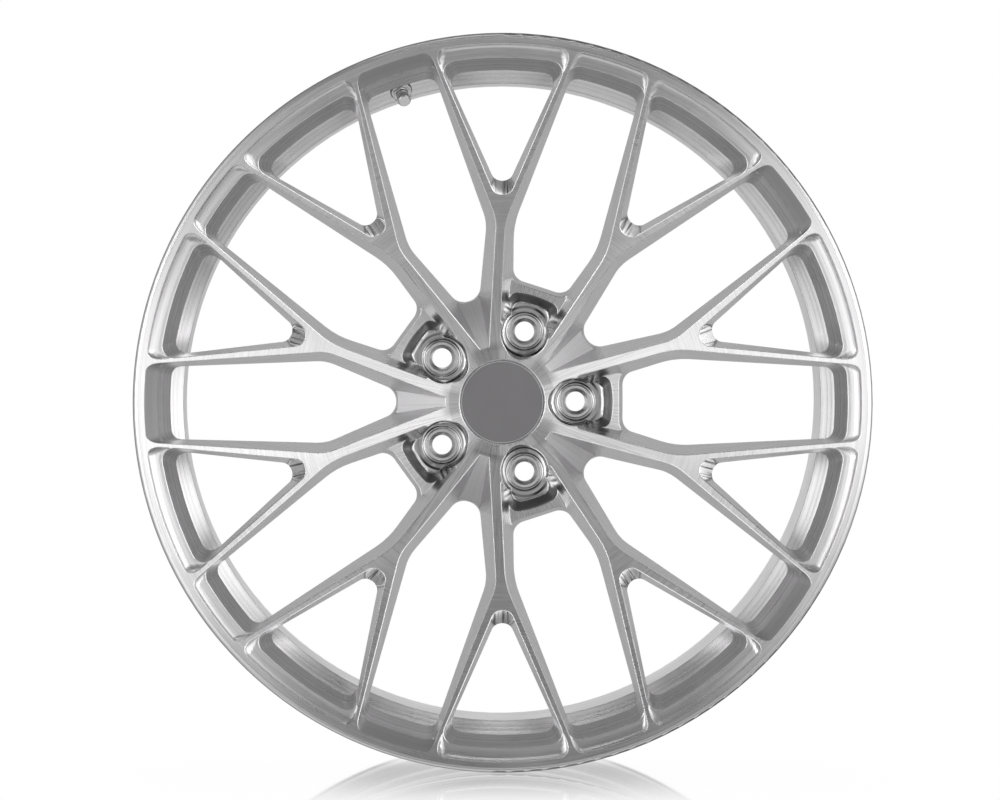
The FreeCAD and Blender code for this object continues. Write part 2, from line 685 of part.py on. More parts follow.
def on_valve(shape):
    placed = shape.copy()
    placed.Placement = valve_frame().multiply(placed.Placement)
    return placed


def rod(radius, low, high):
    """Cylinder along the valve axis."""
    return Part.makeCylinder(radius, high - low, Vector(0, 0, low))


def tube(outer, inner, low, high):
    return rod(outer, low, high).cut(rod(inner, low - 1.0, high + 1.0))


def valve_hole_cutters():
    hole = rod(VALVE_HOLE_RADIUS, -VALVE_CUT, VALVE_CUT)
    spot = rod(VALVE_SPOT_RADIUS, 0.0, VALVE_CUT)
    tyre_side = rod(VALVE_SPOT_RADIUS, -VALVE_CUT, -VALVE_WALL)
    return [on_valve(shape) for shape in (hole, spot, tyre_side)]


def wheel_forging():
    body = revolve(lip_and_barrel() + inside_of_barrel() + hub_section())
    cutters = []
    half_sector = SECTOR / 2.0
    fork_angle = SECTOR / 4.0
    fork, flute, lug = fork_window(), flute_window(), lug_window()
    for index in range(BOLT_COUNT):
        axis_angle = SECTOR * index
        cutters.append(turn(fork, axis_angle + fork_angle))
        cutters.append(turn(fork, axis_angle - fork_angle))
        cutters.append(turn(flute, axis_angle + half_sector))
        cutters.append(turn(lug, axis_angle))
    body = body.cut(cutters)
    pockets = lug_pocket_cutters()
    for index in range(BOLT_COUNT):
        body = body.cut([turn(cutter, SECTOR * index) for cutter in pockets])
    ramp = flute_cutter()
    relief = pad_relief()
    body = body.cut([turn(ramp, SECTOR * index + half_sector) for index in range(BOLT_COUNT)])
    body = body.cut([turn(relief, SECTOR * index + half_sector) for index in range(BOLT_COUNT)])
    return body.cut(valve_hole_cutters())


# ---------------------------------------------------------------- lug seats
def lug_seat_inserts():
    """Five steel seat rings pressed into the pockets, with ball seats for the bolts."""
    ball_depth = SEAT_STEP_DEPTH - math.sqrt(SEAT_BALL_RADIUS ** 2 - SEAT_TOP_RADIUS ** 2)
    middle = (SEAT_TOP_RADIUS + LUG_HOLE_RADIUS) / 2.0
    seat = [
        (radius, ball_depth + math.sqrt(SEAT_BALL_RADIUS ** 2 - radius ** 2))
        for radius in (LUG_HOLE_RADIUS, middle, SEAT_TOP_RADIUS)
    ]
    sides = [
        seat[2],
        (INSERT_RADIUS, SEAT_STEP_DEPTH),
        (INSERT_RADIUS, INSERT_BOTTOM_DEPTH),
        (LUG_HOLE_RADIUS, INSERT_BOTTOM_DEPTH),
        seat[0],
    ]
    ring = revolve([arc(*seat)] + polyline([at(radius, depth) for radius, depth in sides]))
    ring.translate(Vector(BOLT_CIRCLE_RADIUS, 0, 0))
    return Part.makeCompound([turn(ring, SECTOR * index) for index in range(BOLT_COUNT)])


# ---------------------------------------------------------------- centre cap
def centre_cap_body():
    """Cap plate with eight sprung legs that reach into the cap bore."""
    plate_back = CAP_RECESS_DEPTH - CAP_SEAL_THICKNESS
    leg_outer = CAP_BORE_RADIUS - CAP_CLEARANCE
    seat_radius = CAP_DISC_RADIUS + CAP_DISC_FIT
    seat_depth = CAP_DISC_FRONT + CAP_DISC_THICKNESS
    profile = [
        (0.0, seat_depth),
        (seat_radius, seat_depth),
        (seat_radius, CAP_DISC_FRONT),
        (CAP_PLATE_RADIUS - CAP_PLATE_BREAK, CAP_DISC_FRONT),
        (CAP_PLATE_RADIUS, CAP_DISC_FRONT + CAP_PLATE_BREAK),
        (CAP_PLATE_RADIUS, plate_back),
        (leg_outer, plate_back),
        (leg_outer, CAP_LEG_END - CAP_LEG_LEAD),
        (leg_outer - CAP_LEG_LEAD_IN, CAP_LEG_END),
        (CAP_LEG_INNER, CAP_LEG_END),
        (CAP_LEG_INNER, plate_back),
        (0.0, plate_back),
    ]
    body = turned(profile)
    step = 360.0 / CAP_LEG_COUNT
    root = Vector(CAP_LEG_INNER - CAP_SLOT, plate_back + CAP_LEG_ROOT - HALF_WIDTH, -CAP_SLOT / 2.0)
    slot = Part.makeBox(3.0 * CAP_SLOT, CAP_LEG_END, CAP_SLOT, root)
    return body.cut([turn(slot, step * (index + 0.5)) for index in range(CAP_LEG_COUNT)])


def centre_cap_disc():
    """Plain cover disc set into the front of the cap."""
    back = CAP_DISC_FRONT + CAP_DISC_THICKNESS
    return turned([
        (0.0, CAP_DISC_FRONT),
        (CAP_DISC_RADIUS - CAP_DISC_BREAK, CAP_DISC_FRONT),
        (CAP_DISC_RADIUS, CAP_DISC_FRONT + CAP_DISC_BREAK),
        (CAP_DISC_RADIUS, back),
        (0.0, back),
    ])


def centre_cap_spring_ring():
    """Open wire ring that presses the cap legs outward."""
    ring_radius = CAP_LEG_INNER - CAP_WIRE_RADIUS - CAP_WIRE_FIT
    ring_y = CAP_LEG_END - CAP_WIRE_UP - HALF_WIDTH
    half = CAP_WIRE_GAP / 2.0
    ring = Part.makeTorus(ring_radius, CAP_WIRE_RADIUS, Vector(0, ring_y, 0), AXIS)
    corner = Vector(ring_radius - half, ring_y - half, -half)
    gap = Part.makeBox(CAP_WIRE_GAP, CAP_WIRE_GAP, CAP_WIRE_GAP, corner)
    return ring.cut(turn(gap, 90.0))


def centre_cap_seal():
    """Flat rubber ring under the rim of the cap."""
    front = CAP_RECESS_DEPTH - CAP_SEAL_THICKNESS
    inner = CAP_BORE_RADIUS + CAP_SEAL_INSIDE
    outer = CAP_PLATE_RADIUS - CAP_SEAL_INSET
    return turned([
        (inner, front),
        (outer, front),
        (outer, CAP_RECESS_DEPTH),
        (inner, CAP_RECESS_DEPTH),
    ])


# ---------------------------------------------------------------- tyre valve
# All of these are built along +Z from the valve seat, then placed on the slope.
def spun(points):
    """Solid turned about the valve axis from (radius, height) pairs."""
    corners = [Vector(radius, 0, height) for radius, height in points]
    face = Part.Face(Part.Wire(polyline(corners + corners[:1])))
    return face.revolve(ORIGIN, Vector(0, 0, 1), 360)


def thread_crests(low, high):
    """(radius, height) corners of a ring-cut thread, from low to high."""
    corners = []
    turns = int((high - low) / VALVE_PITCH)
    for index in range(turns):
        base = low + index * VALVE_PITCH
        corners.append((STEM_RADIUS, base))
        corners.append((STEM_RADIUS - THREAD_HEIGHT, base + 0.5 * VALVE_PITCH))
    return corners


def valve_stem():
    head_top = -VALVE_WALL - GROMMET_THICKNESS
    profile = [
        (CORE_BARREL_BORE, head_top - STEM_HEAD_THICKNESS),
        (STEM_HEAD_RADIUS - STEM_HEAD_BREAK, head_top - STEM_HEAD_THICKNESS),
        (STEM_HEAD_RADIUS, head_top - STEM_HEAD_THICKNESS + STEM_HEAD_BREAK),
        (STEM_HEAD_RADIUS, head_top),
        (STEM_RADIUS, head_top),
    ]
    profile += thread_crests(NUT_TOP + THREAD_RUN_OUT, STEM_TOP - STEM_BREAK)
    profile += [
        (STEM_RADIUS - STEM_BREAK, STEM_TOP),
        (CORE_CHAMBER_RADIUS, STEM_TOP),
        (CORE_CHAMBER_RADIUS, CORE_SHOULDER),
        (CORE_BARREL_BORE, CORE_SHOULDER),
    ]
    return on_valve(spun(profile))


def grommet(flange_low, flange_high, collar_low, collar_high):
    """Rubber washer with a collar that centres the stem in its hole."""
    flange = tube(GROMMET_RADIUS, STEM_RADIUS, flange_low, flange_high)
    collar = tube(VALVE_HOLE_RADIUS, STEM_RADIUS, collar_low, collar_high)
    return on_valve(flange.fuse(collar).removeSplitter())


def valve_inner_grommet():
    seat = -VALVE_WALL
    return grommet(seat - GROMMET_THICKNESS, seat, seat, seat / 2.0 - VALVE_FIT)


def valve_outer_grommet():
    return grommet(0.0, GROMMET_THICKNESS, -VALVE_WALL / 2.0 + VALVE_FIT, 0.0)


def valve_washer():
    return on_valve(tube(WASHER_RADIUS, STEM_RADIUS + VALVE_FIT, GROMMET_THICKNESS, NUT_BOTTOM))


def valve_nut():
    corner = NUT_FLATS / 2.0 / math.cos(math.radians(30.0))
    corners = []
    for index in range(6):
        angle = math.radians(60.0 * index)
        corners.append(Vector(corner * math.cos(angle), corner * math.sin(angle), NUT_BOTTOM))
    hexagon = Part.Face(Part.Wire(polyline(corners + corners[:1])))
    nut = hexagon.extrude(Vector(0, 0, NUT_TOP - NUT_BOTTOM))
    cone = spun([
        (0.0, NUT_BOTTOM),
        (corner, NUT_BOTTOM),
        (corner, NUT_TOP - NUT_CHAMFER_HEIGHT),
        (corner - NUT_CHAMFER, NUT_TOP),
        (0.0, NUT_TOP),
    ])
    return on_valve(nut.common(cone).cut(rod(STEM_RADIUS + THREAD_FIT, 0.0, STEM_TOP)))


def valve_core_plug():
    """Threaded plug, with two flats at its head for the key."""
    plug = tube(CORE_CHAMBER_RADIUS - THREAD_FIT, PIN_HOLE_RADIUS, PLUG_BOTTOM, STEM_TOP - PLUG_DROP)
    reach = 2.0 * CORE_CHAMBER_RADIUS
    flats = [
        Part.makeBox(2.0 * reach, reach, PLUG_KEY_HEIGHT, Vector(-reach, start, STEM_TOP - PLUG_KEY_HEIGHT))
        for start in (PLUG_KEY, -PLUG_KEY - reach)
    ]
    return on_valve(plug.cut(flats))


def valve_core_barrel():
    """Sleeve whose lower end is the seat that the cup closes on."""
    inner = PIN_RADIUS + PIN_GUIDE_FIT
    outer = CORE_BARREL_BORE - CORE_FIT
    top = PLUG_BOTTOM - THREAD_FIT
    return on_valve(spun([
        (inner, BARREL_BOTTOM),
        (outer, BARREL_BOTTOM),
        (outer, top),
        (SPRING_ROOM, top),
        (SPRING_ROOM, SPRING_LOW),
        (inner, SPRING_LOW),
    ]))


def valve_core_barrel_seal():
    inner = CORE_BARREL_BORE - CORE_FIT
    return on_valve(tube(CORE_CHAMBER_RADIUS, inner, CORE_SHOULDER, CORE_SHOULDER + CORE_SEAL_HEIGHT))


def valve_core_pin():
    """Pin with the collar that the spring pushes up."""
    foot = CUP_BOTTOM + CUP_FLOOR
    collar = SPRING_ROOM - CORE_FIT
    collar_top = SPRING_HIGH + PIN_COLLAR_HEIGHT
    top = STEM_TOP - PIN_BREAK
    return on_valve(spun([
        (0.0, foot),
        (PIN_RADIUS, foot),
        (PIN_RADIUS, SPRING_HIGH),
        (collar, SPRING_HIGH),
        (collar, collar_top),
        (PIN_RADIUS, collar_top),
        (PIN_RADIUS, top - PIN_TIP),
        (PIN_RADIUS - PIN_BREAK, top),
        (0.0, top),
    ]))


def valve_core_cup():
    cup = rod(CUP_RADIUS, CUP_BOTTOM, CUP_TOP)
    return on_valve(cup.cut(rod(PIN_RADIUS, CUP_BOTTOM + CUP_FLOOR, CUP_TOP + CUP_FLOOR)))


def valve_core_cup_seal():
    return on_valve(tube(CUP_RADIUS - CORE_FIT, PIN_RADIUS, CUP_TOP, BARREL_BOTTOM))


def valve_core_spring():
    """Coil between the sleeve's floor and the collar of the pin."""
    coil = (PIN_RADIUS + SPRING_ROOM) / 2.0
    low = SPRING_LOW + SPRING_WIRE + SPRING_FIT
    high = SPRING_HIGH - SPRING_WIRE - SPRING_FIT
    path = Part.Wire(Part.makeHelix((high - low) / SPRING_TURNS, high - low, coil))
    path.translate(Vector(0, 0, low))
    section = Part.Wire(Part.makeCircle(SPRING_WIRE, Vector(coil, 0, low), Vector(0, 1, 0)))
    return on_valve(path.makePipeShell([section], True, True))


def valve_cap():
    """Cap with a chamfered top and finger grooves."""
    bore = STEM_RADIUS + VALVE_CAP_FIT
    body = spun([
        (bore, CAP_LOW),
        (VALVE_CAP_RADIUS, CAP_LOW),
        (VALVE_CAP_RADIUS, CAP_HIGH - VALVE_CAP_CHAMFER),
        (VALVE_CAP_RADIUS - VALVE_CAP_CHAMFER, CAP_HIGH),
        (0.0, CAP_HIGH),
        (0.0, CAP_ROOF),
        (bore, CAP_ROOF),
    ])
    start = CAP_LOW + GROOVE_MARGIN
    length = CAP_HIGH - CAP_LOW - 2.0 * GROOVE_MARGIN
    grooves = []
    for index in range(GROOVE_COUNT):
        angle = 2.0 * math.pi * index / GROOVE_COUNT
        centre = Vector(VALVE_CAP_RADIUS * math.cos(angle), VALVE_CAP_RADIUS * math.sin(angle), start)
        grooves.append(Part.makeCylinder(GROOVE_RADIUS, length, centre))
    return on_valve(body.cut(grooves))


def valve_cap_seal():
    return on_valve(rod(STEM_RADIUS - VALVE_FIT, STEM_TOP + THREAD_FIT, CAP_ROOF - THREAD_FIT))


# ---------------------------------------------------------------- write the parts
PIECES = (
    wheel_forging,
    lug_seat_inserts,
    centre_cap_body,
    centre_cap_disc,
    centre_cap_spring_ring,
    centre_cap_seal,
    valve_stem,
    valve_inner_grommet,
    valve_outer_grommet,
    valve_washer,
    valve_nut,
    valve_core_plug,
    valve_core_barrel,
    valve_core_barrel_seal,
    valve_core_pin,
    valve_core_cup,
    valve_core_cup_seal,
    valve_core_spring,
    valve_cap,
    valve_cap_seal,
)

os.makedirs("parts", exist_ok=True)
for piece in PIECES:
    shape = piece()
    if len(shape.Solids) == 1:
        shape = shape.Solids[0]
    shape.exportStep("parts/" + piece.__name__ + ".step")
    print(piece.__name__, shape.isValid(), len(shape.Solids), round(shape.Volume, 2))
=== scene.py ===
import json
import math
from types import SimpleNamespace

import bpy
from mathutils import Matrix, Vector

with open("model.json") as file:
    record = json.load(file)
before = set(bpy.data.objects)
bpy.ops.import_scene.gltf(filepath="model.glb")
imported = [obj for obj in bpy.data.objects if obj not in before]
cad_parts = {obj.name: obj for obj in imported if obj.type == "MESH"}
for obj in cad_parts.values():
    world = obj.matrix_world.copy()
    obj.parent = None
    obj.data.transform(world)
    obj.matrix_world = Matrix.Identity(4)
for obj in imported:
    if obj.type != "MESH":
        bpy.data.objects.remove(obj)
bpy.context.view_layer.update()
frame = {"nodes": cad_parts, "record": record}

# ------------------------------------------------------------------ view
WHEEL_RADIUS = 0.2737
HALF_WIDTH = 0.1397
FLOOR_GAP = 0.0003
FLOOR_Z = -WHEEL_RADIUS - FLOOR_GAP
VIEW_DISTANCE = 3.5           # from the outboard flange
WHEEL_SHARE = 0.741           # the wheel's width as a share of the image's
LENS_SHIFT = (-0.003, 0.0032)     # sideways and up, in image widths
SENSOR_WIDTH = 36.0           # millimetres
CAMERA_SIDE = -0.035
CAMERA_RISE = 0.048
VIEW_END = 50.0

# ------------------------------------------------------------------ node helpers
BAND_CORE = 0.4               # share of a band's half width that is at full strength


class Nodes:
    """Small builder for a material's or the world's node tree."""

    def __init__(self, tree):
        self.tree = tree
        tree.nodes.clear()

    def add(self, kind, inputs=None, **settings):
        node = self.tree.nodes.new(kind)
        for name, value in settings.items():
            setattr(node, name, value)
        for name, value in (inputs or {}).items():
            self.feed(node, name, value)
        return node

    def feed(self, node, name, value):
        socket = node.inputs[name]
        if isinstance(value, bpy.types.NodeSocket):
            self.tree.links.new(value, socket)
        else:
            socket.default_value = value

    def math(self, operation, first, second=0.0):
        node = self.add("ShaderNodeMath", operation=operation)
        self.feed(node, 0, first)
        self.feed(node, 1, second)
        return node.outputs[0]

    def product(self, *factors):
        result = factors[0]
        for factor in factors[1:]:
            result = self.math("MULTIPLY", result, factor)
        return result

    def length(self, first, second):
        return self.math("SQRT", self.math("ADD", self.product(first, first), self.product(second, second)))

    def band(self, value, centre, half):
        """1 on a narrow stripe or ring, 0 beyond its half width."""
        beside = self.math("ABSOLUTE", self.math("SUBTRACT", value, centre))
        return self.ramp(beside, half, half * BAND_CORE, smooth=True)

    def ramp(self, value, low, high, to_low=0.0, to_high=1.0, smooth=False):
        node = self.add("ShaderNodeMapRange", interpolation_type="SMOOTHSTEP" if smooth else "LINEAR")
        self.feed(node, "Value", value)
        self.feed(node, "From Min", low)
        self.feed(node, "From Max", high)
        self.feed(node, "To Min", to_low)
        self.feed(node, "To Max", to_high)
        return node.outputs["Result"]

    def mix(self, factor, first, second):
        node = self.add("ShaderNodeMix", data_type="RGBA")
        self.feed(node, 0, factor)
        self.feed(node, 6, first)
        self.feed(node, 7, second)
        return node.outputs[2]

    def mix_value(self, factor, first, second):
        node = self.add("ShaderNodeMix", data_type="FLOAT")
        self.feed(node, 0, factor)
        self.feed(node, 2, first)
        self.feed(node, 3, second)
        return node.outputs[0]

    def noise(self, vector, scale, detail=2.0, roughness=0.5):
        inputs = {"Vector": vector, "Scale": scale, "Detail": detail, "Roughness": roughness}
        return self.add("ShaderNodeTexNoise", inputs).outputs[0]


def grey(value):
    return (value, value, value, 1.0)


def new_material(name):
    material = bpy.data.materials.new(name)
    material.use_nodes = True
    return material, Nodes(material.node_tree)


def finish_material(nodes, shader):
    output = nodes.add("ShaderNodeOutputMaterial")
    nodes.tree.links.new(shader.outputs[0], output.inputs["Surface"])


# ------------------------------------------------------------------ forging metal
# Pairs of limits are the two ends of a blend: where a finish begins, and where it is full.
METAL_TONE = 0.84
# Painted highlight tone, put on broken edges and in the flutes.
HIGHLIGHT_TONE = 0.97
GREEN_SHARE = 0.992           # the metal's green against its red and blue
GRAIN = 420.0                 # tool lines per metre
FINE_GRAIN = 1500.0
FINE_SHARE = 0.5              # of fine lines in the turned faces
PLUNGE_GRAIN = 70.0           # scallops per radian in the crotch of each fork
HUB_GRAIN = 75.0              # lines per radian on the spokes near the hub
TURN_STREAK = 2.5             # how fast each kind of tool line changes along its own path
FINE_STREAK = 6.0
MILL_STREAK = 14.0
RING_STREAK = 1.5
HUB_STREAK = 12.0
PLUNGE_STREAK = 8.0
LINE_DETAIL = 3.0
LINE_ROUGHNESS = 0.68
GRAIN_TONE = 0.17             # how far the tool lines lighten and darken the metal
GRAIN_SPAN = (0.3, 0.7)       # noise values that give the darkest and lightest lines
ROUGH_SPAN = (0.25, 0.75)
LINE_ROUGH = (0.24, 0.36)
POCKET_ROUGH = (0.07, 0.15)
MATT_ROUGH = 0.50             # fork crotches and flutes
WALL_ROUGH = 0.45             # outer walls of the pockets
PLAIN_ROUGH = 0.60            # forward bands of the plain windows
EDGE_ROUGH = 0.16
CLOUD_SCALE = 26.0            # wide, faint cloudiness of the metal
CLOUD_DETAIL = (3.0, 0.55)
CLOUD_TONE = 0.03
BUMP_STRENGTH = (0.5, 0.7)    # of the tool lines, outside and inside the pockets
BUMP_DEPTH = 0.0002
BRUSHED = 0.8                 # how far turned faces smear their reflections
BRUSHED_TURN = 0.25           # share of a full turn
FACE_COSINES = (0.80, 0.93)   # how squarely a front or rear face looks along the axis
# Painted light and shade in the crotches and plain windows is shown only to views from the front.
FRONT_VIEW = (-0.2, -0.6)     # crotches and plain windows are dressed for views from the front
FORWARD_FACING = (0.0, 0.08)  # and only where their surface looks forward
LAND_LIMITS = (0.10, 0.15)    # radii where lengthwise lines give way to turned circles
TURNED_LIMITS = (0.215, 0.225)    # radii where the rim's turned surfaces begin
FACET_ERROR = (0.20, 0.10)    # a normal's part round the axis: real above, facet error below
CURL_START = 0.2704           # radius where the flanges' outer curls begin
CURL_DEPTH = 0.0044           # and their depth at the largest radius
FRONT_CURL = ((0.0031, 0.0004), (0.0008, 0.0018), (0.0, CURL_DEPTH))
REAR_CURL = ((0.0041, 0.0), (0.0011, 0.0013), (0.0, CURL_DEPTH))
MID_WIDTH = (-0.01, 0.01)     # Y where the front curl's centre gives way to the rear one's
CURL_BLEND = 0.0004
CURL_DEPTH_BLEND = 0.0006
EDGE_BREAK = 0.0012
EDGE_TURN = (0.995, 0.90)     # cosine between the bevelled and the true normal at a broken edge
EDGE_SAMPLES = 8
BOLT_CIRCLE = 0.056           # its radius
SECTOR = 2.0 * math.pi / 5.0
FORK_ANGLE = SECTOR / 4.0
FORK_APEX = 0.1605            # radius of the crotch of each fork
FORK_REACH = 0.0100
FORK_BLEND = 0.003
CROTCH_NORMAL = (0.40, -0.91, 0.10)    # the scallops in the crotch face the front
CROTCH_TURN = 0.85            # how far the shading turns towards that
# Painted light and shade: the crotch scallops are coloured dark and white in streaks, as if lit and shaded.
CROTCH_LIGHT_AND_SHADE = (0.25, 1.0)
CROTCH_SPAN = (0.40, 0.50)
FLUTE_LIMIT = 0.085           # the flutes lie inside this radius
FLUTE_START = 0.34            # and beyond this angle from their nearest bolt
FLUTE_BLEND = 0.04
FLUTE_FACING = (0.1, 0.3)
# Painted highlight: the flutes are lightened in colour towards the highlight tone.
FLUTE_HIGHLIGHT_SHARE = 0.5             # strength of the brighter tone in the flutes
HUB_LAND = 0.048              # outer radius of the land round the cap
HUB_LAND_BLEND = 0.008
HUB_LAND_ANGLES = (0.30, 0.46)
# Painted shade: the land round the cap is darkened in colour towards the flutes.
HUB_LAND_SHADE = 0.22
HUB_LAND_SHADE_SHARE = 0.5
BLEND = 0.002                 # width of a narrow blend
WIDE_BLEND = 0.004
POCKET_REACH = 0.0275         # how far the polished pocket reaches from its bolt
POCKET_TOP = -0.0790          # Y of the deepest spoke face beside a pocket
POCKET_END = -0.0310          # and of the pockets' floor
POCKET_WALL = 0.0794          # middle radius of the pocket's leaning outer wall
POCKET_WALL_HALF = 0.0060
POCKET_WALL_FACING = ((0.85, 0.6), (0.05, 0.2))    # leaning, neither face nor upright wall
POCKET_WALL_END = 0.03        # the wall ends this angle short of the flutes
# Painted shade: the pockets' leaning outer walls are darkened in colour for the shade they lie in.
POCKET_WALL_SHADE = 0.18
POCKET_WALL_SHADE_SHARE = 0.8
PLAIN_WINDOW = 0.486          # the windows beyond this angle from a bolt have plain walls
PLAIN_START = (0.2540, 0.2550)    # radii where their forward band begins
PLAIN_STOP = (0.2668, 0.2664)     # and ends
PLAIN_CREASE = (0.0110, 0.0098)   # depth of the crease that ends it
PLAIN_ANGLE_BLEND = 0.003
# Painted shade: the plain windows' forward band is darkened in colour.
PLAIN_SHADE = 0.30
PLAIN_SHADE_SHARE = 0.75
SEAT_RINGS = ((0.0118, 0.0015), (0.0144, 0.0010), (0.0186, 0.0014))    # radius, half width
SHADOW_TONE = 0.05
PATCH_SCALE = 95.0            # small dark patches between the rings
PATCH_SPAN = (0.50, 0.62)
PATCH_DEPTH = 0.45
BREAK_SCALE = 45.0            # wider patches that break the rings up
BREAK_DETAIL = (1.0, 0.4)
BREAK_SPAN = (0.40, 0.52)
BREAK_DEPTHS = (0.55, 0.97)
UPRIGHT_SPAN = (0.30, 0.75)   # the rings are dark above and below a seat, faint beside it
BESIDE_DEPTH = 0.12


def wheel_place(n, coords):
    """Where a point is on the wheel, as sockets: its radius and angle, the angle and the distance
    to the nearest bolt, how upright the line to that bolt is, and how far off the nearest
    fork's crotch is."""
    at = n.add("ShaderNodeSeparateXYZ", {"Vector": coords.outputs["Object"]})
    x, y, z = (at.outputs[axis] for axis in "XYZ")
    radius = n.length(x, z)
    angle = n.math("ARCTAN2", z, x)
    turned = n.math("FLOORED_MODULO", n.math("ADD", angle, SECTOR / 2.0), SECTOR)
    folded = n.math("SUBTRACT", turned, SECTOR / 2.0)
    along = n.math("SUBTRACT", n.math("MULTIPLY", radius, n.math("COSINE", folded)), BOLT_CIRCLE)
    across = n.math("MULTIPLY", radius, n.math("SINE", folded))
    off_bolt = n.math("ABSOLUTE", folded)
    bolt_angle = n.math("SUBTRACT", angle, folded)
    bolt_z = n.product(n.math("SINE", bolt_angle), BOLT_CIRCLE)
    from_bolt = n.length(along, across)
    upright = n.math("DIVIDE", n.math("ABSOLUTE", n.math("SUBTRACT", z, bolt_z)), from_bolt)
    beside_fork = n.math("MULTIPLY", n.math("SUBTRACT", off_bolt, FORK_ANGLE), radius)
    from_fork = n.length(beside_fork, n.math("SUBTRACT", radius, FORK_APEX))
    return SimpleNamespace(x=x, y=y, z=z, radius=radius, angle=angle, off_bolt=off_bolt,
                           from_bolt=from_bolt, upright=upright, from_fork=from_fork)


def curl_centre(section, side):
    """Centre, in radius and Y, of a flange's outer curl.  Its section is three points, each
    the radius short of the wheel's and the depth from that side's edge."""
    points = [(WHEEL_RADIUS - short, side * (HALF_WIDTH - depth)) for short, depth in section]
    first = (points[1][0] - points[0][0], points[1][1] - points[0][1])
    second = (points[2][0] - points[0][0], points[2][1] - points[0][1])
    twice_area = 2.0 * (first[0] * second[1] - first[1] * second[0])
    first_square = first[0] ** 2 + first[1] ** 2
    second_square = second[0] ** 2 + second[1] ** 2
    centre_radius = points[0][0] + (second[1] * first_square - first[1] * second_square) / twice_area
    centre_y = points[0][1] + (first[0] * second_square - second[0] * first_square) / twice_area
    return centre_radius, centre_y


def curl_normal(n, place):
    """True normal of the flanges' outer curls, free of their facets."""
    front_radius, front_y = curl_centre(FRONT_CURL, -1.0)
    rear_radius, rear_y = curl_centre(REAR_CURL, 1.0)
    rear = n.ramp(place.y, *MID_WIDTH)
    centre_radius = n.mix_value(rear, front_radius, rear_radius)
    centre_y = n.mix_value(rear, front_y, rear_y)
    outward = n.math("DIVIDE", n.math("SUBTRACT", place.radius, centre_radius), place.radius)
    direction = n.add("ShaderNodeCombineXYZ", {
        "X": n.product(place.x, outward),
        "Y": n.math("SUBTRACT", place.y, centre_y),
        "Z": n.product(place.z, outward),
    })
    unit = n.add("ShaderNodeVectorMath", {0: direction.outputs[0]}, operation="NORMALIZE")
    return unit.outputs[0]


def turned_normal(n, place, normal):
    """Drop the small part of a normal that runs round the axis: on turned surfaces it is only
    the facets' error.  Where it is large, as on a spoke's side, it is kept."""
    around = n.add("ShaderNodeCombineXYZ", {
        "X": n.math("DIVIDE", n.product(place.z, -1.0), place.radius),
        "Z": n.math("DIVIDE", place.x, place.radius),
    }).outputs[0]
    part = n.add("ShaderNodeVectorMath", {0: normal, 1: around}, operation="DOT_PRODUCT").outputs["Value"]
    small = n.ramp(n.math("ABSOLUTE", part), *FACET_ERROR)
    error = n.product(part, small, n.ramp(place.radius, *TURNED_LIMITS))
    excess = n.add("ShaderNodeVectorMath", {0: around, 3: error}, operation="SCALE").outputs[0]
    left = n.add("ShaderNodeVectorMath", {0: normal, 1: excess}, operation="SUBTRACT").outputs[0]
    return n.add("ShaderNodeVectorMath", {0: left}, operation="NORMALIZE").outputs[0]


def tool_lines(n, across, along, scale, beside=0.0):
    """Long streaks: quick change across the tool's path and slow change along it."""
    path = n.add("ShaderNodeCombineXYZ", {"X": n.product(across, scale), "Y": along, "Z": beside})
    return n.noise(path.outputs[0], 1.0, LINE_DETAIL, LINE_ROUGHNESS)


